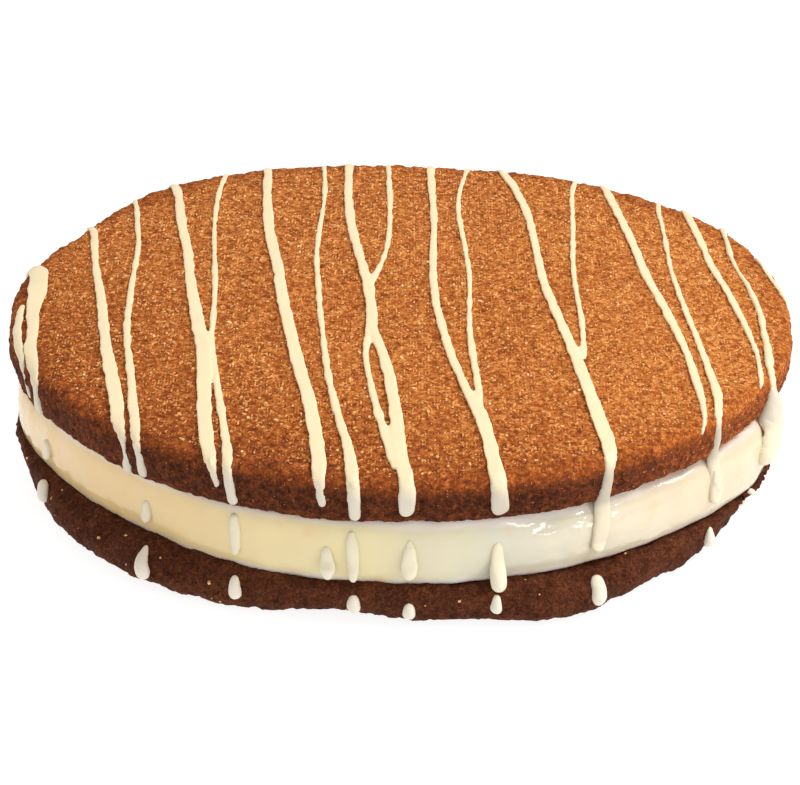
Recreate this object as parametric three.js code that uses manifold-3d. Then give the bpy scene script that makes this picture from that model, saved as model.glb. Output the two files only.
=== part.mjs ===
// A gingerbread sandwich cookie: a thick layer of cream between two dark baked biscuits, with thin
// strands of white icing drizzled over the top one from back to front. Where a strand ends it has
// dripped onto the cream and onto the bottom biscuit below it.
// Millimetres, +Z up, the front faces -Y. The origin is under the middle of the cookie.

import * as THREE from "three";
import { mergeVertices } from "three/addons/utils/BufferGeometryUtils.js";
import Module from "manifold-3d";

// Driving dimensions
const cookieRadius = 42.5; // widest line of the top biscuit
const bottomThickness = 4.5;
const creamThickness = 6.6;
const topEdgeThickness = 5.3; // of the top biscuit, from its underside to its shoulder
const domeRise = 1.4; // of its middle, above the shoulder

// Bottom biscuit
const bottomRadius = cookieRadius - 0.5;
const bottomWideLine = 2.4; // height of its widest line
const bottomFoot = 2.2; // how far its lower edge rounds in
const bottomBrim = 1.4; // and its upper edge
const flatUnderside = 35; // radius inside which the underside stays flat

// Cream
const creamRadius = cookieRadius - 1.5;
const creamTuck = 1; // how far its lower edge draws in over the biscuit
const creamBrim = 0.8; // how far its upper edge rounds in
const creamBulge = 2.2; // distance of its widest line below its upper face

// Top biscuit
const topWideLine = 4.2; // height of its widest line above its underside
const topShoulder = 1.5; // how far its upper edge rounds in
const topSideRise = 1.2; // height above its underside where its side begins to round under
const topSideLean = 0.6; // how far the side leans in from the widest line down to there
const topFoot = 1.9; // how far in its flat underside begins
const sideCurve = 1.6; // distance of a side's curve handle from the widest line

const creamBase = bottomThickness;
const creamTop = creamBase + creamThickness;
const wideLine = creamTop + topWideLine;
const shoulder = creamTop + topEdgeThickness;
const summit = shoulder + domeRise;
const domeRadius = cookieRadius - topShoulder;

// Icing
const icingGap = 0.3; // from the cookie to the icing over it
const icingCrown = 0.85; // height of a strand's upper half, to its half width
const icingFoot = 0.35; // depth of its lower half, to its half width
const strandSides = 6;
const strandCapRows = 2; // rows of faces in a strand's round end
const dropCapRows = 1; // and in a drop's
const strandStep = 6.8; // length of one stretch of a strand on the flat
const rimStep = 1.4; // and where it bends over the rim
const rimReach = 1.5; // how far that bend reaches to both sides of the widest line
const dropRows = [0, 0.35, 0.7, 1]; // places of a drop's rows of faces, as shares of its length
const lipRise = 1.2; // where icing leaves the cream to run out over the bottom biscuit's edge
const lipInset = 0.3; // how far in from that biscuit's widest line it crosses the edge
const heightSlack = 0.01; // how closely a height on the side is found

// Faceting of the round layers
const layerSides = 56;
const curveRows = 3;
const lumpBlend = 1.5; // height over which one layer's lumps fade into the next one's

// Lumps of each layer's edge: the angle in degrees from +X, how far the edge stands out there, and
// how many degrees the lump takes to fade.
const topLumps = [
  { angle: 0, out: -0.4, fade: 14 },
  { angle: 27, out: 0.3, fade: 7 },
  { angle: 43, out: 1.2, fade: 22 },
  { angle: 86, out: -0.4, fade: 14 },
  { angle: 125, out: 1.8, fade: 17 },
  { angle: 153, out: -1.1, fade: 9 },
  { angle: 180, out: -0.3, fade: 12 },
  { angle: -143, out: -0.6, fade: 10 },
  { angle: -100, out: -0.2, fade: 20 },
  { angle: -45, out: -0.9, fade: 20 },
  { angle: -28, out: -0.5, fade: 10 },
];
const creamLumps = [
  { angle: 60, out: -0.5, fade: 20 },
  { angle: 140, out: 0.4, fade: 16 },
  { angle: -168, out: 0.9, fade: 13 },
  { angle: -138, out: -0.8, fade: 14 },
  { angle: -80, out: 0.3, fade: 22 },
  { angle: -26, out: 0.9, fade: 12 },
];
const bottomLumps = [
  { angle: 40, out: 0.6, fade: 15 },
  { angle: 75, out: -0.6, fade: 12 },
  { angle: 115, out: 0.8, fade: 10 },
  { angle: 165, out: -0.3, fade: 14 },
  { angle: -165, out: -0.7, fade: 12 },
  { angle: -143, out: 0.4, fade: 8 },
  { angle: -125, out: 1.1, fade: 13 },
  { angle: -97, out: -0.6, fade: 12 },
  { angle: -68, out: 2, fade: 8 },
  { angle: -38, out: -0.7, fade: 13 },
  { angle: -19, out: -2.3, fade: 15 },
];
// Where the bottom biscuit's lower edge is lifted clear of the surface under it, in the same way.
const bottomLifts = [
  { angle: 15, out: 0.3, fade: 12 },
  { angle: 88, out: 0.5, fade: 14 },
  { angle: 150, out: 0.4, fade: 16 },
  { angle: -98, out: 0.75, fade: 9 },
  { angle: -78, out: 0.3, fade: 7 },
  { angle: -30, out: 0.5, fade: 14 },
];

// Icing strands, drawn from above with the side of the cookie unrolled flat: a point further out
// than the rim is on the side, and the further out, the lower. Each point has its x, its y and the
// strand's width there. Strands that run together are one piece.
const drizzle = [
  [[[-41.2, -2, 0.4], [-41.1, -6.5, 0.85], [-40.2, -12.2, 0.85], [-39.7, -16.4, 0.6], [-41.6, -18.7, 0.6]]],
  [
    [
      [-42.4, 9.4, 1.6], [-40.5, 7.4, 2.2], [-40, 1.5, 2.3], [-39.8, -3.5, 1.65], [-39.1, -9.4, 1.3],
      [-38.9, -13, 1.35], [-38.1, -18.2, 1.15], [-38.3, -20.3, 1.05], [-41.2, -21, 1.15],
    ],
  ],
  [
    [
      [-38.4, 24.3, 0.9], [-36.3, 20.6, 0.9], [-35.6, 15.9, 0.9], [-34, 7.5, 0.78], [-33, 0.3, 1],
      [-31.8, -6.8, 1.22], [-31, -13.5, 1.18], [-30.2, -19.6, 1.55], [-29.2, -25.4, 1.6],
      [-28.5, -29.5, 1.45], [-27.9, -32.4, 0.8], [-28.8, -34, 0.78], [-30.9, -35.6, 1.15],
    ],
  ],
  [
    [
      [-31.2, 33, 0.6], [-30.4, 25, 0.6], [-30.6, 18.5, 0.58], [-29.7, 7, 0.6], [-29.6, -2, 0.66],
      [-28.8, -13.4, 0.8], [-27.4, -25.6, 0.94], [-26.3, -32.5, 1.08], [-26.6, -34.8, 0.88], [-28.3, -36.7, 1.1],
    ],
  ],
  [
    [
      [-28, 38.5, 1], [-25.5, 29.5, 1], [-25, 17.5, 1.2], [-23.7, 5.9, 1.1], [-22, -5.9, 1.45],
      [-20.6, -17, 1.55], [-19.9, -26.5, 1.55], [-18.9, -36, 1.5], [-18.4, -38.4, 1.05], [-18.8, -40.7, 0.4],
    ],
    [
      [-20.2, 40, 0.5], [-20.7, 31, 0.52], [-20.9, 23, 0.5], [-21.4, 13.3, 0.52], [-20.7, 4.4, 0.5],
      [-20.1, -6, 0.52], [-20.1, -14.5, 0.6], [-19.3, -19.3, 0.55], [-18.3, -26, 0.8], [-17.4, -33, 0.9],
      [-16.9, -39, 1.05], [-18, -42.7, 0.85],
    ],
  ],
  [
    [
      [-19.4, 48.5, 1], [-16.2, 39.5, 0.95], [-15.5, 30, 1], [-14.8, 20, 1.2], [-14.4, 12, 1.4],
      [-13.7, 4.3, 1.3], [-12.5, -5.2, 1.35], [-11.4, -13.4, 1.45], [-10, -22.3, 1.4], [-8.9, -28.5, 1.5],
      [-8.2, -35, 1.5], [-7.8, -41.2, 1.45], [-7.9, -44.4, 0.85],
    ],
  ],
  [
    [
      [-9.7, 43, 0.45], [-9.1, 30, 0.45], [-9.2, 16, 0.48], [-9.4, 6, 0.52], [-9, -2, 0.48],
      [-8.3, -11, 0.6], [-7.6, -20, 0.66], [-6.5, -28.5, 0.76], [-5.4, -33.5, 1.08], [-4.8, -39, 1.2],
      [-4.5, -43, 1.5], [-4.8, -46.2, 0.95],
    ],
  ],
  [
    [
      [-6.6, 45, 0.9], [-6.5, 32, 0.92], [-6.1, 22, 1.1], [-5.4, 15.2, 1], [-4.4, 8, 1],
      [-3.7, 1.5, 1.15], [-3.2, -5, 1.2], [-3.1, -10.5, 1.3],
    ],
    [
      [-3.4, -9.4, 0.8], [-4, -13, 0.58], [-3.6, -19, 0.52], [-2.9, -24.5, 0.65], [-2.1, -30, 0.95],
      [-1.2, -35, 1], [-0.4, -40, 0.8],
    ],
    [
      [-3, -9.8, 0.9], [-2.3, -13.2, 1.08], [-1.5, -18, 1.1], [-0.9, -24, 1.4], [-0.4, -30, 1.4],
      [-0.1, -36, 1.45], [0.4, -40.2, 1.42], [0.8, -43, 1.85], [0.8, -45.8, 1.9],
    ],
    [[-2, 43.5, 0.55], [-1.7, 33, 0.55], [-1.5, 22, 0.55], [-1.6, 14.5, 0.48], [-2.3, 7.5, 0.52], [-3.7, 1, 0.5]],
  ],
  [
    [
      [3.2, 45.5, 0.85], [3.3, 32, 0.85], [3.6, 22, 0.8], [3.3, 10, 0.78], [3.3, 2, 0.76], [3.9, -6, 0.95],
      [4.9, -13.8, 0.92], [6.1, -21, 0.8], [7, -25, 1], [8, -28.5, 1.4], [8.8, -34, 1.5], [9.3, -39.5, 1.6],
      [9.8, -42.1, 1.95], [10.8, -44.6, 1.95],
    ],
    [
      [8, 43.5, 0.5], [6.9, 34.7, 0.5], [6.2, 27, 0.48], [6.6, 18, 0.52], [7.1, 8, 0.48], [7.3, -2, 0.5],
      [7.2, -9, 0.58], [7.5, -15.6, 0.7], [7.9, -21.5, 0.75], [8, -27, 0.8],
    ],
  ],
  [
    [
      [10.8, 43.5, 0.75], [12.7, 34.7, 0.95], [14, 25.8, 0.95], [14.4, 15, 0.85], [14.9, 7, 1], [16, -1, 1],
      [17.2, -6.7, 1.05], [18.2, -13.3, 1.15], [19.1, -20, 1.4], [19.8, -25.5, 1.5], [20.8, -34, 1.55],
      [20.9, -37, 1.4], [22, -39.6, 1.25], [24.3, -43.2, 1.6], [25.3, -46.4, 1.6],
    ],
    [
      [20.6, 40, 0.5], [19.4, 31, 0.5], [19, 22, 0.46], [18.5, 12, 0.54], [18.7, 5, 0.5], [19.2, -2, 0.52],
      [19.6, -10, 0.62], [19.3, -16, 0.8],
    ],
  ],
  [
    [
      [22.9, 38, 0.9], [23.7, 30, 0.9], [24.5, 22, 1], [25.5, 14.5, 1.05], [26.3, 8.3, 0.95], [27.8, 2, 1],
      [28.7, -2.5, 1], [29.6, -9, 0.95], [30.7, -15.5, 0.85], [31.2, -21, 0.85], [31.4, -25, 0.55],
      [31.3, -27.6, 0.34], [31.4, -29.6, 0.42],
    ],
  ],
  [
    [
      [29.8, 34.5, 0.5], [28.9, 28, 0.45], [29, 20, 0.42], [29.3, 11, 0.44], [30, 4.9, 0.5], [30.9, -3, 0.6],
      [31.8, -12, 0.65], [32.8, -18.6, 0.85], [33.1, -24, 0.95], [32.9, -26.9, 1], [34.6, -28.4, 0.95],
      [36.4, -29.2, 1.2], [38, -30.3, 1.6], [41, -32.8, 1.6],
    ],
  ],
  [
    [
      [31.6, 30.8, 0.8], [32.5, 21.4, 0.85], [33.6, 14, 0.8], [34.6, 9, 0.85], [35.7, 4, 0.9],
      [36.6, -1.2, 0.65], [37.2, -7, 0.54], [37.7, -12.5, 0.48], [38.1, -19.2, 0.45],
    ],
  ],
  [
    [
      [35.5, 25.5, 0.5], [36.2, 16, 0.55], [37.1, 10.6, 0.45], [38.3, 4.7, 0.48], [39, -1.2, 0.62],
      [38.9, -7.2, 0.7], [38.9, -12.6, 0.85], [39.1, -16, 0.95], [40.4, -17, 1.3], [42.4, -16.9, 2.3],
      [44.2, -17.5, 2.6], [45.7, -19.4, 2], [46.2, -22, 1.3],
    ],
  ],
  [[[39.6, 15.5, 0.45], [40.2, 11.5, 0.5], [41, 8, 0.6], [41.8, 5, 0.6], [43.4, 2.2, 0.55], [45.5, 0.5, 0.6]]],
];

// Drops: the angles in degrees from +X and the heights of the two ends, and the widths of the rows.
const drops = [
  { from: -154, to: -154, top: 8.2, bottom: 5.8, widths: [0.7, 1.4, 1.6, 1.3] },
  { from: -129, to: -129, top: 8.4, bottom: 5.8, widths: [0.5, 1.1, 1.5, 1.2] },
  { from: -113.3, to: -113, top: 10.4, bottom: 5.8, widths: [0.3, 1.35, 0.75, 0.7] },
  { from: -100, to: -99.5, top: 8.2, bottom: 5, widths: [0.3, 1.05, 1.75, 1.4] },
  { from: -96.5, to: -96, top: 10.4, bottom: 5, widths: [0.3, 1.55, 1.1, 0.85] },
  { from: -88.5, to: -88.5, top: 9.7, bottom: 5.2, widths: [0.35, 1.35, 2, 1.5] },
  { from: -76.3, to: -76.5, top: 8.7, bottom: 4, widths: [0.5, 1.6, 2.1, 2] },
  { from: -152.5, to: -152, top: 4.4, bottom: 2, widths: [0.8, 1.3, 1.4, 1.2] },
  { from: -127.5, to: -125.7, top: 4.3, bottom: 1.4, widths: [0.5, 1.2, 1.7, 1.5] },
  { from: -112.5, to: -112, top: 4.2, bottom: 1.7, widths: [0.4, 1.2, 1.5, 1.1] },
  { from: -96, to: -96, top: 3.1, bottom: 0.8, widths: [0.35, 1.1, 1.6, 1.3] },
  { from: -88.5, to: -88.5, top: 2.7, bottom: 1, widths: [0.6, 0.95, 1.2, 1] },
  { from: -76.8, to: -77.1, top: 3.7, bottom: 1.6, widths: [0.3, 0.9, 1.25, 0.95] },
  { from: -62, to: -63, top: 4.4, bottom: 1.3, widths: [1.2, 1.6, 1.85, 1.85] },
  { from: -39.4, to: -39.4, top: 3.4, bottom: 1.1, widths: [0.4, 1.1, 1.65, 1.65] },
  { from: -27, to: -27.6, top: 3.9, bottom: 1.9, widths: [0.5, 1.1, 1.5, 1.4] },
  { from: 135, to: 135, top: 9, bottom: 5.8, widths: [0.4, 0.9, 1.3, 1.2] },
  { from: 103, to: 103, top: 9.6, bottom: 5, widths: [0.3, 1.3, 1, 0.8] },
  { from: 86, to: 86, top: 8.8, bottom: 4.9, widths: [0.4, 1.2, 1.7, 1.4] },
  { from: 47, to: 47, top: 9.4, bottom: 5.6, widths: [0.3, 1, 1.3, 0.9] },
  { from: 148, to: 147, top: 3.6, bottom: 1.4, widths: [0.4, 1, 1.3, 1.1] },
  { from: 112, to: 112, top: 3.4, bottom: 1.3, widths: [0.6, 1, 1.4, 1.2] },
  { from: 86, to: 85, top: 3.7, bottom: 1.1, widths: [0.7, 1.2, 1.6, 1.5] },
  { from: 61, to: 61.5, top: 3.2, bottom: 1.5, widths: [0.3, 0.9, 1.2, 1] },
];

const topLook = new THREE.MeshStandardMaterial({ color: "#b87138", roughness: 0.9, metalness: 0 });
const bottomLook = new THREE.MeshStandardMaterial({ color: "#55301e", roughness: 0.9, metalness: 0 });
const creamLook = new THREE.MeshStandardMaterial({ color: "#eadfc2", roughness: 0.4, metalness: 0 });
const icingLook = new THREE.MeshStandardMaterial({ color: "#faecc9", roughness: 0.45, metalness: 0 });

const wasm = await Module();
wasm.setup();

// How far a list of lumps moves the edge at an angle in degrees.
function lumpsAt(lumps, angle) {
  let sum = 0;
  for (const lump of lumps) {
    const away = THREE.MathUtils.euclideanModulo(angle - lump.angle + 180, 360) - 180;
    sum += lump.out * Math.exp(-((away / lump.fade) ** 2));
  }
  return sum;
}

// How far the edge stands out at an angle and a height. Each layer has its own lumps, and one
// layer's fade into the next one's just under the face where they meet.
function edgeOut(angle, height) {
  const intoTop = THREE.MathUtils.smoothstep(height, creamTop - lumpBlend, creamTop);
  const intoCream = THREE.MathUtils.smoothstep(height, creamBase - lumpBlend, creamBase);
  const below = THREE.MathUtils.lerp(lumpsAt(bottomLumps, angle), lumpsAt(creamLumps, angle), intoCream);
  return THREE.MathUtils.lerp(below, lumpsAt(topLumps, angle), intoTop);
}

// Turns a shape on the evenly round cookie into the uneven one, in place.
function makeUneven(geometry) {
  const position = geometry.attributes.position;
  for (let i = 0; i < position.count; i++) {
    const x = position.getX(i);
    const y = position.getY(i);
    const z = position.getZ(i);
    const angle = THREE.MathUtils.radToDeg(Math.atan2(y, x));
    const spread = 1 + edgeOut(angle, z) / cookieRadius;
    const outer = THREE.MathUtils.smoothstep(Math.hypot(x, y), flatUnderside, bottomRadius);
    const low = 1 - THREE.MathUtils.smoothstep(z, 0, creamBase);
    const lift = lumpsAt(bottomLifts, angle) * outer * low;
    position.setXYZ(i, x * spread, y * spread, z + lift);
  }
  return geometry;
}

// One round layer, turned from its outline. An outline runs from the axis at the top of the layer,
// round its edge, to the axis at its bottom.
function turned(outline) {
  const geometry = new THREE.LatheGeometry(outline.getPoints(curveRows).reverse(), layerSides);
  geometry.rotateX(Math.PI / 2);
  geometry.deleteAttribute("normal");
  geometry.deleteAttribute("uv");
  return makeUneven(mergeVertices(geometry));
}

// The top biscuit's dome, shoulder and side.
function domeAndSide() {
  return new THREE.Path()
    .moveTo(0, summit)
    .quadraticCurveTo(domeRadius / 2, summit, domeRadius, shoulder)
    .quadraticCurveTo(cookieRadius, shoulder, cookieRadius, wideLine)
    .quadraticCurveTo(cookieRadius, wideLine - sideCurve, cookieRadius - topSideLean, creamTop + topSideRise);
}

const topOutline = domeAndSide()
  .quadraticCurveTo(cookieRadius - topSideLean, creamTop, cookieRadius - topFoot, creamTop)
  .lineTo(0, creamTop);

const creamOutline = new THREE.Path()
  .moveTo(0, creamTop)
  .lineTo(creamRadius - creamBrim, creamTop)
  .quadraticCurveTo(creamRadius, creamTop, creamRadius, creamTop - creamBulge)
  .quadraticCurveTo(creamRadius, creamBase, creamRadius - creamTuck, creamBase)
  .lineTo(0, creamBase);

const bottomOutline = new THREE.Path()
  .moveTo(0, creamBase)
  .lineTo(bottomRadius - bottomBrim, creamBase)
  .quadraticCurveTo(bottomRadius, creamBase, bottomRadius, bottomWideLine)
  .quadraticCurveTo(bottomRadius, 0, bottomRadius - bottomFoot, 0)
  .lineTo(flatUnderside, 0)
  .lineTo(0, 0);

// The line that icing follows from the summit, over the rim and down the side of all three layers.
const icingLine = domeAndSide()
  .quadraticCurveTo(creamRadius, creamTop, creamRadius, creamTop - creamBulge)
  .quadraticCurveTo(creamRadius, creamBase + lipRise, bottomRadius - lipInset, creamBase)
  .quadraticCurveTo(bottomRadius, creamBase, bottomRadius, bottomWideLine)
  .quadraticCurveTo(bottomRadius, 0, bottomRadius - bottomFoot, 0);
const icingLineLength = icingLine.getLength();

// Lays a point of the unrolled drawing onto the cookie, so far above its surface.
function ontoCookie(x, y, lift, target) {
  const distance = Math.hypot(x, y);
  const share = Math.min(distance / icingLineLength, 1);
  const line = icingLine.getPoint(share);
  const way = icingLine.getTangent(share);
  const radius = line.x - way.y * lift;
  const height = line.y + way.x * lift;
  return target.set((x / distance) * radius, (y / distance) * radius, height);
}

// How far out in the unrolled drawing a height on the side is.
function distanceAtHeight(height) {
  let near = domeRadius;
  let far = icingLineLength;
  while (far - near > heightSlack) {
    const middle = (near + far) / 2;
    if (icingLine.getPoint(middle / icingLineLength).y > height) {
      near = middle;
    } else {
      far = middle;
    }
  }
  return near;
}

// The value at a share of the way through a list of evenly spread values.
function spreadOver(values, share) {
  const place = THREE.MathUtils.clamp(share, 0, 1) * (values.length - 1);
  const before = Math.min(Math.floor(place), values.length - 2);
  return THREE.MathUtils.lerp(values[before], values[before + 1], place - before);
}

// Where a strand's rows of faces lie along its path, as shares of its length: closest at the rim.
function strandRows(path) {
  const length = path.getLength();
  const shares = [0];
  let distance = 0;
  while (distance < length) {
    const { x, y } = path.getPointAt(distance / length);
    const toRim = Math.abs(Math.hypot(x, y) - cookieRadius) - rimReach;
    distance += THREE.MathUtils.clamp(toRim, rimStep, strandStep);
    shares.push(Math.min(distance / length, 1));
  }
  return shares;
}

// A rounded line of icing along a path of the unrolled drawing, whose z is the icing's width. It is
// an upright capsule: its length runs along the path, its x is the side and its z is the height over
// the cookie. Its round ends are as long as they are wide.
function icingAlong(path, rows, capRows) {
  const length = path.getLength();
  const geometry = new THREE.CapsuleGeometry(1, 1, capRows, strandSides, rows.length - 1);
  geometry.deleteAttribute("normal");
  geometry.deleteAttribute("uv");
  const position = geometry.attributes.position;
  const startCap = Math.min(path.getPointAt(0).z / 2, length / 3);
  const endCap = Math.min(path.getPointAt(1).z / 2, length / 3);
  const place = new THREE.Vector3();
  for (let i = 0; i < position.count; i++) {
    const even = position.getY(i) + 0.5;
    const inBody = THREE.MathUtils.clamp(even, 0, 1);
    const intoCap = (even - inBody) * (even < 0 ? startCap : endCap);
    const distance = startCap + spreadOver(rows, inBody) * (length - startCap - endCap) + intoCap;
    const along = THREE.MathUtils.clamp(distance / length, 0, 1);
    const spot = path.getPointAt(along);
    const half = spot.z / 2;
    const side = position.getX(i) * half;
    const rise = position.getZ(i);
    const lift = icingGap + half * (icingFoot + rise * (rise > 0 ? icingCrown : icingFoot));
    const way = path.getTangentAt(along).setZ(0).normalize();
    ontoCookie(spot.x + way.y * side, spot.y - way.x * side, lift, place);
    position.setXYZ(i, place.x, place.y, place.z);
  }
  return mergeVertices(geometry);
}

function strandOf(points) {
  const path = new THREE.CatmullRomCurve3(points.map((point) => new THREE.Vector3(...point)));
  return icingAlong(path, strandRows(path), strandCapRows);
}

function dropOf({ from, to, top, bottom, widths }) {
  const near = distanceAtHeight(top);
  const far = distanceAtHeight(bottom);
  const points = dropRows.map((row, index) => {
    const direction = THREE.MathUtils.degToRad(THREE.MathUtils.lerp(from, to, row));
    const distance = THREE.MathUtils.lerp(near, far, row);
    return new THREE.Vector3(Math.cos(direction) * distance, Math.sin(direction) * distance, widths[index]);
  });
  return icingAlong(new THREE.CatmullRomCurve3(points), dropRows, dropCapRows);
}

function solidOf(geometry) {
  return new wasm.Manifold(
    new wasm.Mesh({
      numProp: 3,
      vertProperties: geometry.attributes.position.array,
      triVerts: new Uint32Array(geometry.index.array),
    }),
  );
}

// Strands that run together, as one closed shape.
function joined(geometries) {
  if (geometries.length === 1) {
    return geometries[0];
  }
  const whole = geometries.map(solidOf).reduce((sum, solid) => sum.add(solid));
  const mesh = whole.getMesh();
  const geometry = new THREE.BufferGeometry();
  geometry.setAttribute("position", new THREE.BufferAttribute(mesh.vertProperties, 3));
  geometry.setIndex(new THREE.BufferAttribute(mesh.triVerts, 1));
  return geometry;
}

const cookie = new THREE.Group();

function add(name, geometry, look) {
  const mesh = new THREE.Mesh(geometry, look);
  mesh.name = name;
  cookie.add(mesh);
}

function numbered(name, index) {
  return name + "_" + String(index + 1).padStart(2, "0");
}

add("bottom_biscuit", turned(bottomOutline), bottomLook);
add("cream_filling", turned(creamOutline), creamLook);
add("top_biscuit", turned(topOutline), topLook);
drizzle.forEach((strands, index) => {
  add(numbered("icing_strand", index), makeUneven(joined(strands.map(strandOf))), icingLook);
});
drops.forEach((drop, index) => {
  add(numbered("icing_drop", index), makeUneven(dropOf(drop)), icingLook);
});

export default cookie;
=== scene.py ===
import math

import bpy
import numpy as np
from mathutils import Euler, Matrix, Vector
from mathutils.bvhtree import BVHTree


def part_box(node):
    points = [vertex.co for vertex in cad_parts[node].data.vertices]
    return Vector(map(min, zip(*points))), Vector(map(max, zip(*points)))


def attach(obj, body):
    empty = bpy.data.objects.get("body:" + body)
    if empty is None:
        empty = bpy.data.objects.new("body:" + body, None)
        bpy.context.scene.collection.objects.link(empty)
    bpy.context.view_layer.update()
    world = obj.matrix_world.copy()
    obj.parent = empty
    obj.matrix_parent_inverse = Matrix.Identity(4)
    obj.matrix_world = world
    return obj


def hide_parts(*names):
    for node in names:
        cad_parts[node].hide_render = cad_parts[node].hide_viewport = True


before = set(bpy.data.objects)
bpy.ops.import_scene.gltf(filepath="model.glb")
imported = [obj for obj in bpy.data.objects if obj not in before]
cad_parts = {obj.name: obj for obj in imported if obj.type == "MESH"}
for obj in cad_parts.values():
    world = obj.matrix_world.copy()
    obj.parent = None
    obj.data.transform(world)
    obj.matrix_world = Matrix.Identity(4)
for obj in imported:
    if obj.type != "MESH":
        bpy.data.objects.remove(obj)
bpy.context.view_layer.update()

mm = 0.001
flat = 0.9  # a face counts as flat when its normal stands up more than this

# The levels of the cookie, from the solids: the faces where its layers meet, and its summit.
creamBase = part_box("cream_filling")[0].z
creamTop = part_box("cream_filling")[1].z
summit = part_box("top_biscuit")[1].z
middle = (creamBase + creamTop) / 2


def deselectAll():
    if bpy.context.object and bpy.context.object.mode != "OBJECT":
        bpy.ops.object.mode_set(mode="OBJECT")
    bpy.ops.object.select_all(action="DESELECT")


def pick(piece):
    deselectAll()
    piece.select_set(True)
    bpy.context.view_layer.objects.active = piece


def looseCopy(node, name):  # a copy of a solid with its doubles merged, to be shaped further
    pick(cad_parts[node])
    bpy.ops.object.duplicate()
    piece = bpy.context.object
    for key in list(piece.keys()):
        del piece[key]
    piece.parent = None
    piece.name = piece.data.name = name
    piece.data.materials.clear()
    bpy.ops.object.mode_set(mode="EDIT")
    bpy.ops.mesh.select_all(action="SELECT")
    bpy.ops.mesh.remove_doubles(threshold=0.001 * mm)
    bpy.ops.object.mode_set(mode="OBJECT")
    bpy.ops.mesh.customdata_custom_splitnormals_clear()
    return piece


def modified(piece, kind, **settings):  # adds a modifier and applies it
    modifier = piece.modifiers.new(kind.lower(), kind)
    for key, value in settings.items():
        setattr(modifier, key, value)
    pick(piece)
    bpy.ops.object.modifier_apply(modifier=modifier.name)


def mergeFaces(piece, wanted):  # turns the wanted faces, which lie in one hidden plane, into one
    pick(piece)
    bpy.ops.object.mode_set(mode="EDIT")
    bpy.ops.mesh.select_mode(type="FACE")
    bpy.ops.mesh.select_all(action="DESELECT")
    bpy.ops.object.mode_set(mode="OBJECT")
    for face in piece.data.polygons:
        face.select = wanted(face.center, face.normal)
    bpy.ops.object.mode_set(mode="EDIT")
    bpy.ops.mesh.dissolve_faces()
    bpy.ops.object.mode_set(mode="OBJECT")


def smooth(piece, times):
    modified(piece, "SMOOTH", factor=0.5, iterations=times)


def remake(piece, shape):  # on a fine grid, and smoothed
    modified(piece, "REMESH", mode="VOXEL", voxel_size=shape["grid"])
    smooth(piece, shape["smoothing"])


def makeLayer(node, name, shape, isHidden):  # a layer on a fine grid, with its hidden faces merged
    piece = looseCopy(node, name)
    remake(piece, shape)
    mergeFaces(piece, lambda at, normal: isHidden(normal) and at.xy.length < shape["hiddenReach"])
    return piece


def relief(piece, layers):  # lumps and pits: a name, their size and depth, and the level between them
    for name, size, depth, level in layers:
        texture = bpy.data.textures.new(name, "CLOUDS")
        texture.noise_scale = size
        texture.noise_depth = 2
        modified(piece, "DISPLACE", texture=texture, texture_coords="LOCAL", strength=depth,
                 mid_level=level)


def smoothShade(piece):
    pick(piece)
    bpy.ops.object.shade_smooth()


def handOver(piece, finish, slot, *nodes):  # finish, body, slot (not used) and the solids the piece stands for
    piece.data.materials.append(finish.material)
    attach(piece, "root")
    if nodes:
        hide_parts(*nodes)


def tint(red, green, blue):  # a colour as a screen shows it, 0 to 255
    return tuple(((part / 255 + 0.055) / 1.055) ** 2.4 for part in (red, green, blue)) + (1.0,)


class Term:  # a value or colour that changes over a surface
    def __init__(self, finish, socket):
        self.finish = finish
        self.socket = socket

    def __add__(self, other):
        return self.finish.sum("ADD", self, other)

    def __radd__(self, other):
        return self.finish.sum("ADD", other, self)

    def __sub__(self, other):
        return self.finish.sum("SUBTRACT", self, other)

    def __rsub__(self, other):
        return self.finish.sum("SUBTRACT", other, self)

    def __mul__(self, other):
        return self.finish.sum("MULTIPLY", self, other)

    def __rmul__(self, other):
        return self.finish.sum("MULTIPLY", other, self)

    def __pow__(self, other):
        return self.finish.sum("POWER", self, other)

    def __abs__(self):
        return self.finish.sum("ABSOLUTE", self)


softRadius = (1.0, 0.6, 0.35)  # how far red, green and blue light spreads in cream and icing


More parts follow.
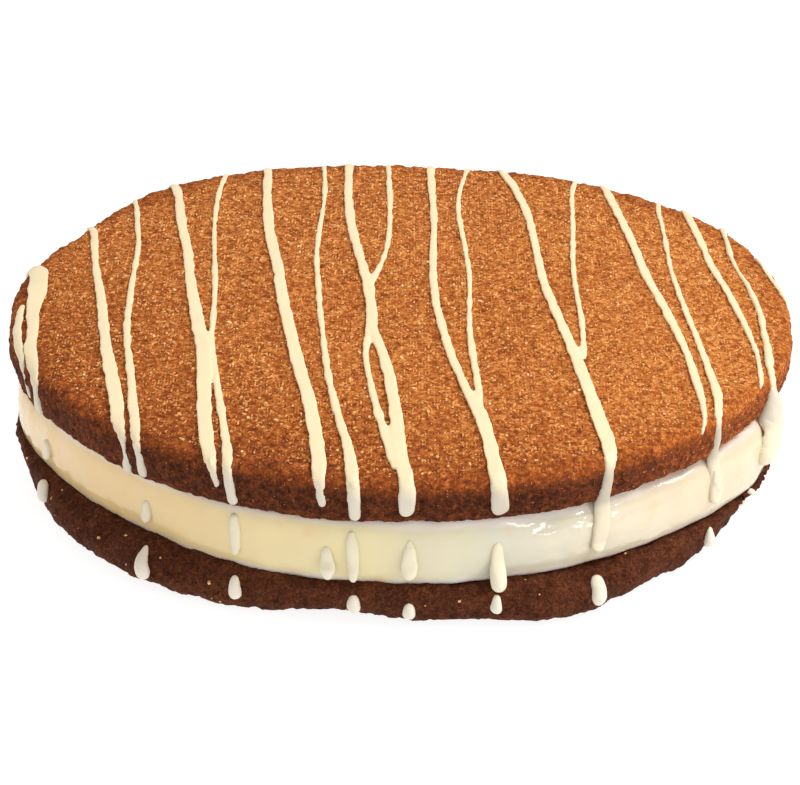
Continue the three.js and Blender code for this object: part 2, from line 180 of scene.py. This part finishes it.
class Finish:  # one material, and the nodes that make it
    def __init__(self, name, **constants):
        self.material = bpy.data.materials.new(name)
        self.material.use_nodes = True
        self.tree = self.material.node_tree
        self.shader = self.tree.nodes["Principled BSDF"]
        self.place = self.node("ShaderNodeTexCoord", output="Object")
        for key, value in constants.items():
            self.shader.inputs[key.replace("_", " ")].default_value = value

    def node(self, kind, settings=None, inputs=None, output=0):
        made = self.tree.nodes.new(kind)
        for key, value in (settings or {}).items():
            if key == "stops":
                self.setStops(made.color_ramp, value)
            else:
                setattr(made, key, value)
        for key, value in (inputs or {}).items():
            self.feed(made.inputs[key], value)
        return Term(self, made.outputs[output])

    def setStops(self, ramp, stops):
        while len(ramp.elements) < len(stops):
            ramp.elements.new(0.5)
        for element, (position, colour) in zip(ramp.elements, stops):
            element.position = position
            element.color = colour

    def feed(self, socket, value):
        if isinstance(value, Term):
            self.tree.links.new(value.socket, socket)
        else:
            socket.default_value = value

    def sum(self, operation, *values):
        return self.node("ShaderNodeMath", {"operation": operation}, dict(enumerate(values)))

    def noise(self, size, detail=2.0, roughness=0.5, twist=0.0, place=None):
        inputs = {"Vector": place or self.place, "Scale": 1 / size, "Detail": detail}
        inputs.update({"Roughness": roughness, "Distortion": twist})
        return self.node("ShaderNodeTexNoise", inputs=inputs)

    def ramp(self, value, *stops):
        return self.node("ShaderNodeValToRGB", {"stops": stops}, {"Fac": value})

    def step(self, value, low, high):  # 0 at low, 1 at high, with soft ends
        inputs = {"Value": value, "From Min": low, "From Max": high}
        return self.node("ShaderNodeMapRange", {"interpolation_type": "SMOOTHSTEP"}, inputs)

    def mix(self, share, first, second):
        settings = {"data_type": "RGBA"}
        return self.node("ShaderNodeMix", settings, {0: share, 6: first, 7: second}, output=2)

    def parts(self, vector):
        made = self.tree.nodes.new("ShaderNodeSeparateXYZ")
        self.feed(made.inputs[0], vector)
        return [Term(self, socket) for socket in made.outputs]

    def bump(self, height, distance, normal=None):
        inputs = {"Height": height, "Distance": distance, "Strength": 1.0}
        if normal:
            inputs["Normal"] = normal
        return self.node("ShaderNodeBump", inputs=inputs)

    def give(self, **links):  # what changes over the surface
        for key, value in links.items():
            self.feed(self.shader.inputs[key.replace("_", " ")], value)


topShape = {
    "grid": 0.31 * mm,
    "smoothing": 7,
    "hiddenReach": 37.5 * mm,
    "lift": 0.35 * mm,  # how far its lower edge is lifted by the cream, and how much of its side
    "liftReach": 3 * mm,
    "swells": [("topSwells", 9 * mm, 0.5 * mm, 0.2)],
    "crumb": [
        ("topLumps", 1.3 * mm, 0.42 * mm, 0.55),
        ("topPits", 0.6 * mm, 0.36 * mm, 0.55),
    ],
}


def makeTopBiscuit():
    piece = makeLayer("top_biscuit", "topBiscuit", topShape, lambda normal: normal.z < -flat)
    for vertex in piece.data.vertices:
        low = 1 - (vertex.co.z - creamTop) / topShape["liftReach"]
        vertex.co.z += topShape["lift"] * max(low, 0)
    relief(piece, topShape["swells"])
    return piece


# The crust's colours from the darkest to the palest, and how far along them a place lies by how baked
# it is: the side is the darkest, then the rim, most of all at the front left. It is also paler toward
# the right, on the top and down the side: partly its own colour, partly painted light from the key at
# the right.
crustStops = [
    (0.0, tint(58, 27, 15)),
    (0.2, tint(92, 47, 27)),
    (0.36, tint(128, 63, 29)),
    (0.5, tint(164, 87, 37)),
    (0.64, tint(202, 123, 58)),
    (0.84, tint(240, 177, 105)),
]
crustTone = {
    "whole": 0.55,
    "side": 0.3,
    "rim": 0.1,
    "left": 0.07,
    # right and rightSide: paler toward the right, partly painted light from the key
    "right": 0.05,
    "rightSide": 0.14,
    "leftSide": 0.08,
    "front": 0.05,
    "patches": 0.08,
}
crustPlaces = {  # where each begins and where it is full
    "leftWay": (0.8, 0.6),  # slanted, like the way to where it is burnt: to the front left
    "burntWay": (0.7, 0.7),
    "left": (-12 * mm, -44 * mm),
    "right": (8 * mm, 38 * mm),
    "front": (-22 * mm, -38 * mm),
    "burnt": (-28 * mm, -44 * mm),
    "rim": (39.5 * mm, 46 * mm),
    "side": (1.7 * mm, 3.6 * mm),  # below the summit
    "unevenRim": 4 * mm,
    "unevenSide": 1.0 * mm,
    "burntRise": 0.6 * mm,  # how much higher the dark side begins where it is burnt
    "patchSize": 8 * mm,
}
topGrain = {  # the sizes of its patterns, and how they mix into crumbs
    "blotches": 1.7 * mm,
    "grain": 0.62 * mm,
    "twist": 0.5,
    "fine": 0.25 * mm,
    "shares": {"grain": 0.65, "fine": 0.25, "blotches": 0.1},
    "contrast": 1.5,
    "bumps": (0.5 * mm, 0.3 * mm),  # how deep blotches and crumbs are
    "roughness": 0.62,
    "flakeTones": 0.7 * mm,
    "flakeContrast": 1.2,
}


def slanted(x, y, way):
    return x * way[0] + y * way[1]


def crustColour(finish, blotches, grain, crumbs):
    x, y, z = finish.parts(finish.place)
    radius = (x * x + y * y) ** 0.5
    patches = finish.noise(crustPlaces["patchSize"])
    left = finish.step(slanted(x, y, crustPlaces["leftWay"]), *crustPlaces["left"])
    right = finish.step(x, *crustPlaces["right"])
    front = finish.step(y, *crustPlaces["front"])
    burnt = finish.step(slanted(x, y, crustPlaces["burntWay"]), *crustPlaces["burnt"])
    rim = finish.step(radius + blotches * crustPlaces["unevenRim"], *crustPlaces["rim"])
    depth = summit - z + burnt * crustPlaces["burntRise"]
    depth = depth + (blotches + grain - 1.0) * crustPlaces["unevenSide"]
    side = finish.step(depth, *crustPlaces["side"])
    tone = crumbs + crustTone["whole"] - side * crustTone["side"] - rim * crustTone["rim"]
    tone = tone - left * crustTone["left"] - (patches - 0.5) * crustTone["patches"]
    # Paler toward the right, on the top and on the side: partly the crust's own colour, partly painted
    # light from the key at the right.
    tone = tone - front * crustTone["front"] + right * crustTone["right"]
    tone = tone + side * (right * crustTone["rightSide"] + left * crustTone["leftSide"])
    return finish.ramp(tone, *crustStops)


def grainOf(finish, values):
    blotches = finish.noise(values["blotches"], detail=3)
    return blotches, finish.noise(values["grain"], detail=3, roughness=0.6, twist=values["twist"])


def crumbsOf(finish, values, blotches, grain):
    fine = finish.noise(values["fine"], detail=1)
    shares = values["shares"]
    return grain * shares["grain"] + fine * shares["fine"] + blotches * shares["blotches"]


def giveCrust(finish, values, colour, blotches, grain, crumbs):
    deep, shallow = values["bumps"]
    bumps = finish.bump(blotches, deep)
    bumps = finish.bump(crumbs, shallow, bumps)
    finish.give(Base_Color=colour, Normal=bumps, Roughness=values["roughness"] + grain * 0.3)


def topFinish():
    finish = Finish("topBiscuitFinish", IOR=1.45, Specular_IOR_Level=0.08)
    blotches, grain = grainOf(finish, topGrain)
    crumbs = crumbsOf(finish, topGrain, blotches, grain)
    colour = crustColour(finish, blotches, grain, (crumbs - 0.5) * topGrain["contrast"])
    giveCrust(finish, topGrain, colour, blotches, grain, crumbs)
    return finish


def flakeFinish(name, paler):
    finish = Finish(name, IOR=1.45, Specular_IOR_Level=0.25)
    blotches, grain = grainOf(finish, topGrain)
    tone = finish.noise(topGrain["flakeTones"], detail=1)
    colour = crustColour(finish, blotches, grain, (tone - 0.5) * topGrain["flakeContrast"] + paler)
    finish.give(Base_Color=colour, Roughness=0.5 + grain * 0.3, Normal=finish.bump(grain, 0.1 * mm))
    return finish


bottomShape = {
    "grid": 0.34 * mm,
    "smoothing": 5,
    "hiddenReach": 38 * mm,
    "sink": (-0.2 * mm, 0.42 * mm),  # how far the cream presses its upper edge down, left and right
    "sinkReach": 2.5 * mm,
    "sinkWidth": 40 * mm,  # from its left end to its right end
    "swells": [("bottomSwells", 4.5 * mm, 0.8 * mm, 0.45)],
    "crumb": [
        ("bottomLumps", 1.8 * mm, 0.4 * mm, 0.5),
        ("bottomPits", 0.7 * mm, 0.45 * mm, 0.55),
    ],
}


def makeBottomBiscuit():
    piece = makeLayer("bottom_biscuit", "bottomBiscuit", bottomShape, lambda normal: normal.z > flat)
    left, right = bottomShape["sink"]
    for vertex in piece.data.vertices:
        high = 1 - (creamBase - vertex.co.z) / bottomShape["sinkReach"]
        across = min(max(vertex.co.x / bottomShape["sinkWidth"] + 0.5, 0), 1)
        vertex.co.z -= (left + (right - left) * across) * max(high, 0)
    relief(piece, bottomShape["swells"])
    return piece


bottomStops = [  # from the gaps to the palest crumbs
    (0.36, tint(46, 20, 10)),
    (0.5, tint(80, 40, 22)),
    (0.65, tint(116, 66, 40)),
    (0.76, tint(150, 98, 70)),
]
bottomGrain = {
    "blotches": 2.2 * mm,
    "grain": 0.45 * mm,
    "twist": 1.0,
    "fine": 0.18 * mm,
    "shares": {"grain": 0.55, "fine": 0.2, "blotches": 0.25},
    "bumps": (0.6 * mm, 0.3 * mm),
    "roughness": 0.6,
}


def bottomFinish():
    finish = Finish("bottomBiscuitFinish", IOR=1.45, Specular_IOR_Level=0.1)
    blotches, grain = grainOf(finish, bottomGrain)
    crumbs = crumbsOf(finish, bottomGrain, blotches, grain)
    giveCrust(finish, bottomGrain, finish.ramp(crumbs, *bottomStops), blotches, grain, crumbs)
    return finish


creamShape = {
    "grid": 0.42 * mm,
    "smoothing": 9,
    "hiddenReach": 37 * mm,
    "lap": 0.5 * mm,  # how far it reaches into the biscuits, so that no gap shows
    "waves": [
        ("creamWaves", 14 * mm, 0.8 * mm, 0.5),
        ("creamStrokes", 4 * mm, 0.16 * mm, 0.5),
    ],
}


def makeCream():
    piece = makeLayer("cream_filling", "creamFilling", creamShape, lambda normal: abs(normal.z) > flat)
    relief(piece, creamShape["waves"])
    taller = 1 + 2 * creamShape["lap"] / (creamTop - creamBase)
    pick(piece)
    bpy.ops.object.mode_set(mode="EDIT")
    bpy.ops.mesh.select_all(action="SELECT")
    bpy.ops.transform.resize(value=(1, 1, taller), center_override=(0, 0, middle))
    bpy.ops.object.mode_set(mode="OBJECT")
    return piece


creamToneAndShadeStops = [  # from its left end to its right end: partly the cream's own drift in colour, partly painted shade, a warmer tan on the less lit left and a duller colour on the brightly lit right
    (0.15, tint(239, 207, 150)),
    (0.5, tint(231, 218, 170)),
    (0.78, tint(214, 210, 191)),
    (0.95, tint(221, 206, 177)),
]
creamColours = {
    # painted light: a pale lilac-white sheen along the cream's rounded upper and lower edges
    "edge": tint(246, 236, 230),
    "smear": tint(228, 188, 134),
}
creamPlaces = {  # where each begins and where it is full
    "across": (-42 * mm, 46 * mm),
    "edge": (2.8 * mm, 3.8 * mm),  # the painted pale sheen along its edges, so far above and below its middle
    "wetLeft": (9 * mm, 15 * mm),
    "wetRight": (31 * mm, 24 * mm),
    "shoulder": (middle, creamTop + 0.8 * mm),
}
creamGrain = {  # the sizes of its patterns
    "clouds": 7 * mm,
    "smears": 4 * mm,
    "smearRange": (0.62, 0.78),
    "skin": 1.4 * mm,
    "strokes": 3 * mm,
    "strokesFlat": (1, 1, 2.5),
}
creamBumps = {"clouds": 0.5 * mm, "wet": 0.9 * mm, "skin": 0.08 * mm}


def creamFinish():
    finish = Finish("creamFinish", IOR=1.45, Coat_Roughness=0.05, Subsurface_Weight=0.25,
                    Subsurface_Radius=softRadius, Subsurface_Scale=1.2 * mm)
    x, _, z = finish.parts(finish.place)
    clouds = finish.noise(creamGrain["clouds"], detail=2)
    # Partly painted shade: tan on the less lit left, duller where the key light falls on the right.
    across = finish.step(x + clouds * (14 * mm), *creamPlaces["across"])
    colour = finish.ramp(across, *creamToneAndShadeStops)
    # Painted light along the upper and lower edges: a pale sheen for the light the rounded edges catch,
    # which also lifts the shade under the top biscuit.
    paintedEdgeSheen = finish.step(abs(z - middle) + clouds * (0.8 * mm), *creamPlaces["edge"])
    colour = finish.mix(paintedEdgeSheen * 0.8, colour, creamColours["edge"])
    smears = finish.step(finish.noise(creamGrain["smears"], detail=1), *creamGrain["smearRange"])
    colour = finish.mix(smears * 0.5, colour, creamColours["smear"])
    skin = finish.noise(creamGrain["skin"], detail=3)
    flattened = finish.node("ShaderNodeVectorMath", {"operation": "MULTIPLY"},
                            {0: finish.place, 1: creamGrain["strokesFlat"]})
    strokes = finish.noise(creamGrain["strokes"], detail=1, place=flattened)
    wet = finish.step(x, *creamPlaces["wetLeft"]) * finish.step(x, *creamPlaces["wetRight"])
    shoulder = finish.step(z + strokes * (1.2 * mm), *creamPlaces["shoulder"])
    bumps = finish.bump(clouds, creamBumps["clouds"])
    bumps = finish.bump(wet * (strokes * 0.15 - shoulder), creamBumps["wet"], bumps)
    bumps = finish.bump(skin, creamBumps["skin"], bumps)
    finish.give(Base_Color=colour, Normal=bumps, Roughness=0.06 + skin * 0.18,
                Coat_Weight=0.3 + wet * 0.7)
    return finish


icingShape = {
    "plump": 0.10 * mm,  # makes up for what the rounding takes off a strand
    "fuller": {"strand": 0.3 * mm, "drop": 0.16 * mm},  # and how much fuller it is lower down
    "grid": 0.12 * mm,
    "smoothing": 2,
    "edges": [
        ("icingSwells", 2.2 * mm, 0.34 * mm, 0.5),
        ("icingScallops", 0.8 * mm, 0.06 * mm, 0.5),
    ],
    "gap": 0.30 * mm,  # from the layers to the solid icing
    "bed": (0.05 * mm, 0.3 * mm),  # how far it lies in the layers, on top and lower down
    "reach": (0.42 * mm, 0.9 * mm),  # how high it stands at the most, on top and lower down
    "lower": (1.2 * mm, 1.6 * mm),  # "lower down" starts so far below the summit, and is full so far on
    "full": (2.8 * mm, 3.2 * mm),  # and it is fuller from so far above the cream, in the same way
    "pile": {"icing_strand_14": (3.0, 0.8 * mm)},  # where it has run together: reach and fullness
    "lip": creamBase + 1.6 * mm,  # below it, icing bridges the step to the bottom biscuit
    "lipPull": 0.45 * mm,  # and is pulled in no further than this
    "fold": 1.2 * mm,  # it also bridges the fold between the top biscuit and the cream, so far from it
    "soft": 0.8 * mm,
    "bridging": 30,
    "settling": 4,
}


def surfaceOf(pieces):
    points = []
    faces = []
    for piece in pieces:
        first = len(points)
        points += [vertex.co.copy() for vertex in piece.data.vertices]
        faces += [[first + i for i in face.vertices] for face in piece.data.polygons]
    return BVHTree.FromPolygons(points, faces)


def settling(spot, solids, layers, higher):  # the way of a point of icing onto the uneven layers
    under, _, _, height = solids.find_nearest(spot)
    away = (spot - under).normalized()
    start, length = icingShape["lower"]
    low = min(max((summit - start - spot.z) / length, 0), 1)
    bed, reach = [top + (down - top) * low for top, down in (icingShape["bed"], icingShape["reach"])]
    reach *= higher
    pull = height - reach * math.tanh((height - icingShape["gap"]) / reach) + bed
    atLip = min(max((icingShape["lip"] - spot.z) / (2 * icingShape["soft"]) + 0.5, 0), 1)
    pull += (min(pull, icingShape["lipPull"]) - pull) * atLip
    return layers.find_nearest(under)[0] - under - away * pull


def settle(piece, solids, layers, higher, fuller):
    mesh = piece.data
    spots = np.array([vertex.co[:] for vertex in mesh.vertices])
    normals = np.array([vertex.normal[:] for vertex in mesh.vertices])
    start, length = icingShape["full"]
    lowness = np.clip((creamTop + start - spots[:, 2]) / length, 0, 1)[:, None]
    spots += normals * lowness * fuller
    ways = np.array([settling(Vector(spot), solids, layers, higher)[:] for spot in spots])
    lip = (icingShape["lip"] - spots[:, 2]) / icingShape["soft"]
    fold = (icingShape["fold"] - abs(spots[:, 2] - creamTop)) / icingShape["soft"]
    bridged = np.clip(np.maximum(lip, fold), 0, 1)[:, None]
    ends = np.empty(len(mesh.edges) * 2, dtype=int)
    mesh.edges.foreach_get("vertices", ends)
    first, second = ends.reshape(-1, 2).T
    neighbours = np.bincount(ends, minlength=len(spots))[:, None]
    for _ in range(icingShape["bridging"]):  # evens the way out where the icing bridges a step
        sums = np.zeros_like(ways)
        np.add.at(sums, first, ways[second])
        np.add.at(sums, second, ways[first])
        ways += (sums / neighbours - ways) * bridged
    mesh.vertices.foreach_set("co", (spots + ways).ravel())
    mesh.update()


def makeIcing(node, name, solids, layers):
    piece = looseCopy(node, name)
    bpy.ops.object.mode_set(mode="EDIT")
    bpy.ops.mesh.select_all(action="SELECT")
    bpy.ops.mesh.tris_convert_to_quads()
    bpy.ops.object.mode_set(mode="OBJECT")
    modified(piece, "SUBSURF", levels=3, render_levels=3)
    modified(piece, "DISPLACE", strength=icingShape["plump"], mid_level=0)
    remake(piece, icingShape)
    relief(piece, icingShape["edges"])
    fuller = icingShape["fuller"]["drop" if "drop" in node else "strand"]
    higher, fuller = icingShape["pile"].get(node, (1.0, fuller))
    settle(piece, solids, layers, higher, fuller)
    smooth(piece, icingShape["settling"])
    smoothShade(piece)
    return piece


icingStops = [  # by height: on the bottom biscuit, the cream, the side and the top. The greyer, darker side is painted shade, where less light falls on it than on the top.
    (0.16, tint(234, 226, 210)),
    (0.4, tint(234, 225, 196)),
    (0.54, tint(234, 225, 196)),
    (0.66, tint(216, 207, 189)),
    (0.82, tint(216, 207, 189)),
    (0.96, tint(248, 229, 188)),
]
# painted shade: icing darker toward the right, over the side and on the cream, to tone down the key
# light there
icingColours = {
    "rightSide": tint(180, 168, 147),
    "paintedShadeRightCream": tint(223, 211, 184),
}
icingPlaces = {  # where each begins and where it is full
    "front": (-20 * mm, -27 * mm),
    "overCream": (creamTop - 0.6 * mm, creamTop + 0.6 * mm),
    "side": (summit - 1.2 * mm, summit - 3.2 * mm),
    "sideRight": (0, 20 * mm),
    "cream": (creamBase, creamBase + 1 * mm),
    "creamRight": (14 * mm, 20 * mm),
}


def icingFinish():
    finish = Finish("icingFinish", IOR=1.45, Subsurface_Weight=0.1,
                    Subsurface_Radius=softRadius, Subsurface_Scale=0.4 * mm)
    x, y, z = finish.parts(finish.place)
    clouds = finish.noise(2.5 * mm, detail=2)
    height = (z + (clouds - 0.5) * (1.5 * mm)) * (1 / summit)
    colour = finish.ramp(height, *icingStops)
    # Painted shade toward the right: icing hanging over the side and lying on the cream is darkened
    # where the key light falls strongest.
    front = finish.step(y, *icingPlaces["front"])
    over = finish.step(z, *icingPlaces["overCream"])
    side = front * over * finish.step(z, *icingPlaces["side"])
    side = side * finish.step(x, *icingPlaces["sideRight"])
    colour = finish.mix(side * 0.6, colour, icingColours["rightSide"])
    below = front * finish.step(z, *icingPlaces["cream"]) * (1 - over)
    below = below * finish.step(x, *icingPlaces["creamRight"])
    colour = finish.mix(below * 0.8, colour, icingColours["paintedShadeRightCream"])
    skin = finish.noise(0.6 * mm, detail=2)
    finish.give(Base_Color=colour, Normal=finish.bump(skin, 0.03 * mm), Roughness=0.34 + skin * 0.2)
    return finish


# Loose things on the crust. Sizes are those of the smallest and the largest grain; rarity is how
# rare the large ones are; shape is its length, width and thickness to its size; tilt is how far it
# leans out of the surface; sunk is how deep it lies in it.
sugar = {
    "seed": 11,
    "size": (0.2 * mm, 0.55 * mm),
    "rarity": 1.4,
    "shape": (1, 0.6, 0.5),
    "tilt": 1.0,
    "sunk": 0.1,
    "onTop": 2000,
    "onBottom": 60,
}
crumb = {
    "seed": 23,
    "size": (0.25 * mm, 0.65 * mm),
    "rarity": 2.0,
    "shape": (1, 0.8, 0.6),
    "tilt": 0.5,
    "sunk": 0.36,
    "onTop": 7000,
    "onBottom": 3500,
}
flake = {
    "seed": 37,
    "size": (0.4 * mm, 1.0 * mm),
    "rarity": 1.3,
    "shape": (1, 0.4, 0.3),
    "tilt": 0.6,
    "sunk": -0.02,
    "onTop": 20000,
}
sideFlake = {
    "seed": 41,
    "size": (0.35 * mm, 0.8 * mm),
    "rarity": 1.3,
    "shape": (1, 0.34, 0.26),
    "tilt": 0.25,
    "sunk": 0.02,
    "onTop": 5000,
}
grainPlaces = {
    "topFloor": creamTop + 0.8 * mm,
    "crownFloor": summit - 2.2 * mm,
    "crownRadius": 40.5 * mm,
    "bottomFloor": 0.6 * mm,
    "bottomRadius": 38.5 * mm,  # further in, the bottom biscuit is covered
    "largestFace": 1 * mm * mm,  # larger faces are the hidden ones
}


def onTop(centres):
    return centres[:, 2] > grainPlaces["topFloor"]


def onCrown(centres):
    radii = np.hypot(centres[:, 0], centres[:, 1])
    return (centres[:, 2] > grainPlaces["crownFloor"]) & (radii < grainPlaces["crownRadius"])


def onSide(centres):
    return onTop(centres) & ~onCrown(centres)


def onBottom(centres):
    radii = np.hypot(centres[:, 0], centres[:, 1])
    return (centres[:, 2] > grainPlaces["bottomFloor"]) & (radii > grainPlaces["bottomRadius"])


def grainShape(kind):  # one grain, about 1 across, to be copied
    deselectAll()
    if kind == "sugar":
        bpy.ops.mesh.primitive_cube_add(size=1)
        modified(bpy.context.object, "BEVEL", width=0.2, segments=1, affect="VERTICES")
    elif kind == "crumb":
        bpy.ops.mesh.primitive_ico_sphere_add(subdivisions=1, radius=0.5)
    else:
        bpy.ops.mesh.primitive_cone_add(vertices=4, radius1=0.5, radius2=0, depth=1)
    grain = bpy.context.object
    modified(grain, "TRIANGULATE")
    points = np.array([vertex.co[:] for vertex in grain.data.vertices])
    faces = np.array([face.vertices[:] for face in grain.data.polygons])
    bpy.data.objects.remove(grain)
    return points, faces


def visibleSpots(piece, count, dice, wanted):  # places and normals spread evenly over a surface
    mesh = piece.data
    total = len(mesh.polygons)
    centres = np.empty(total * 3)
    normals = np.empty(total * 3)
    areas = np.empty(total)
    mesh.polygons.foreach_get("center", centres)
    mesh.polygons.foreach_get("normal", normals)
    mesh.polygons.foreach_get("area", areas)
    centres = centres.reshape(-1, 3)
    normals = normals.reshape(-1, 3)
    areas *= wanted(centres) & (areas < grainPlaces["largestFace"])
    chosen = dice.choice(total, count, replace=False, p=areas / areas.sum())
    return centres[chosen], normals[chosen]


def unit(vectors):
    return vectors / np.linalg.norm(vectors, axis=1, keepdims=True)


def scatter(name, kind, values, spots, dice):
    points, faces = grainShape(kind)
    centres, normals = spots
    count = len(centres)
    low, high = values["size"]
    sizes = low + (high - low) * dice.random((count, 1)) ** values["rarity"]
    along = unit(np.cross(normals, dice.normal(size=(count, 3))))
    along = unit(along + normals * dice.normal(0, values["tilt"], (count, 1)))
    across = unit(np.cross(normals, along))
    axes = np.stack([along, across, np.cross(along, across)], axis=1)
    scales = sizes * np.array(values["shape"]) * dice.uniform(0.7, 1.0, (count, 3))
    shaped = np.einsum("pa,na,nac->npc", points, scales, axes)
    shaped += (centres - normals * sizes * values["sunk"])[:, None]
    numbered = faces + (np.arange(count) * len(points))[:, None, None]
    mesh = bpy.data.meshes.new(name)
    mesh.from_pydata(shaped.reshape(-1, 3).tolist(), [], numbered.reshape(-1, 3).tolist())
    mesh.update()
    piece = bpy.data.objects.new(name, mesh)
    bpy.context.scene.collection.objects.link(piece)
    return piece


def joinSpots(first, second):
    return tuple(np.concatenate(pair) for pair in zip(first, second))


sugarColours = {
    "dark": tint(222, 150, 82),
    "pale": tint(248, 206, 142),
}


def sugarFinish():
    finish = Finish("sugarFinish", IOR=1.5)
    glints = finish.noise(0.8 * mm)
    colour = finish.mix(finish.step(glints, 0.4, 0.6), sugarColours["dark"], sugarColours["pale"])
    finish.give(Base_Color=colour, Roughness=0.3 + glints * 0.3)
    return finish


print("layers")
topBiscuit = makeTopBiscuit()
bottomBiscuit = makeBottomBiscuit()
cream = makeCream()

print("icing")
layerNodes = ["bottom_biscuit", "cream_filling", "top_biscuit"]
solids = surfaceOf([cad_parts[node] for node in layerNodes])
layers = surfaceOf([bottomBiscuit, cream, topBiscuit])
icing = icingFinish()
for node in sorted(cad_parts):
    if node.startswith("icing"):
        kind, number = node.split("_")[1:]
        piece = makeIcing(node, "icing" + kind.title() + number, solids, layers)
        handOver(piece, icing, "icing", node)

print("crumb")
relief(topBiscuit, topShape["crumb"])
relief(bottomBiscuit, bottomShape["crumb"])
for vertex in bottomBiscuit.data.vertices:  # flat where it lies on the table
    vertex.co.z = max(vertex.co.z, 0)
for piece in (topBiscuit, bottomBiscuit, cream):
    smoothShade(piece)

print("sugar and crumbs")
dice = np.random.default_rng(sugar["seed"])
spots = joinSpots(visibleSpots(topBiscuit, sugar["onTop"], dice, onCrown),
                  visibleSpots(bottomBiscuit, sugar["onBottom"], dice, onBottom))
sugarGrains = scatter("sugarGrains", "sugar", sugar, spots, dice)
dice = np.random.default_rng(crumb["seed"])
topCrumbs = scatter("topCrumbs", "crumb", crumb,
                    visibleSpots(topBiscuit, crumb["onTop"], dice, onTop), dice)
bottomCrumbs = scatter("bottomCrumbs", "crumb", crumb,
                       visibleSpots(bottomBiscuit, crumb["onBottom"], dice, onBottom), dice)
dice = np.random.default_rng(flake["seed"])
topFlakes = scatter("topFlakes", "flake", flake,
                    visibleSpots(topBiscuit, flake["onTop"], dice, onCrown), dice)
dice = np.random.default_rng(sideFlake["seed"])
sideFlakes = scatter("sideFlakes", "flake", sideFlake,
                     visibleSpots(topBiscuit, sideFlake["onTop"], dice, onSide), dice)

topCrust = topFinish()
bottomCrust = bottomFinish()
handOver(topBiscuit, topCrust, "top_biscuit", "top_biscuit")
handOver(bottomBiscuit, bottomCrust, "bottom_biscuit", "bottom_biscuit")
handOver(cream, creamFinish(), "cream", "cream_filling")
handOver(sugarGrains, sugarFinish(), "top_biscuit")
handOver(topCrumbs, flakeFinish("crumbFinish", 0.15), "top_biscuit")
flakes = flakeFinish("flakeFinish", 0.26)
handOver(topFlakes, flakes, "top_biscuit")
handOver(sideFlakes, flakes, "top_biscuit")
handOver(bottomCrumbs, bottomCrust, "bottom_biscuit")

studio = {
    "floor": 3.0,
    "floorTint": tint(130, 130, 130),
    "floorPale": (0.95, 0.95, 0.95, 1.0),
    "floorClouds": 0.3,
    "floorGlow": 0.88,
    "glowTint": (1.0, 1.0, 1.0, 1.0),
    "skyTint": (1.0, 0.985, 0.96, 1.0),
    "skyStrength": 0.69,
    "keyPlace": (0.26, -0.04, 0.36),
    "keySize": 0.14,
    "keyPower": 1.1,
    "panePlace": (0.37, -0.28, 0.12),
    "paneSize": (0.10, 0.05),
    "panePower": 0.4,
    "lightTint": (1.0, 0.96, 0.9),
}
camera = {
    "distance": 344.25 * mm,
    "elevation": math.radians(24),
    "roll": math.radians(0.85),
    "aim": 15.5 * mm,
    "lens": 142.7,
    "shift": (-0.0025, -0.0994),
}


def makeStudio():
    bpy.ops.mesh.primitive_plane_add(size=studio["floor"], location=(0, 0, 0))
    floor = bpy.context.object
    floor.name = "floor"
    table = Finish("floorFinish", Roughness=0.7, Emission_Strength=studio["floorGlow"],
                   Emission_Color=studio["glowTint"])
    clouds = table.noise(studio["floorClouds"])
    table.give(Base_Color=table.mix(clouds * 0.1, studio["floorTint"], studio["floorPale"]))
    floor.data.materials.append(table.material)
    world = bpy.data.worlds.new("studio")
    world.use_nodes = True
    sky = world.node_tree.nodes["Background"]
    sky.inputs["Color"].default_value = studio["skyTint"]
    sky.inputs["Strength"].default_value = studio["skyStrength"]
    bpy.context.scene.world = world
    key = makeLight("key")
    key.size = studio["keySize"]
    pane = makeLight("pane")
    pane.shape = "RECTANGLE"
    pane.size, pane.size_y = studio["paneSize"]


def makeLight(name):
    bpy.ops.object.light_add(type="AREA", location=studio[name + "Place"])
    light = bpy.context.object
    light.name = name
    light.data.energy = studio[name + "Power"]
    light.data.color = studio["lightTint"]
    light.rotation_euler = (-light.location).to_track_quat("-Z", "Y").to_euler()
    return light.data


def makeCamera():
    back = Vector((0, -math.cos(camera["elevation"]), math.sin(camera["elevation"])))
    aim = Vector((0, 0, camera["aim"]))
    bpy.ops.object.camera_add(location=aim + back * camera["distance"])
    view = bpy.context.object
    view.name = "camera"
    turn = (-back).to_track_quat("-Z", "Y") @ Euler((0, 0, camera["roll"])).to_quaternion()
    view.rotation_euler = turn.to_euler()
    view.data.lens = camera["lens"]
    view.data.shift_x, view.data.shift_y = camera["shift"]
    view.data.clip_start = 10 * mm
    bpy.context.scene.camera = view


print("studio")
deselectAll()
makeStudio()
makeCamera()
bpy.context.scene.view_settings.view_transform = "Standard"
bpy.context.scene.view_settings.look = "None"
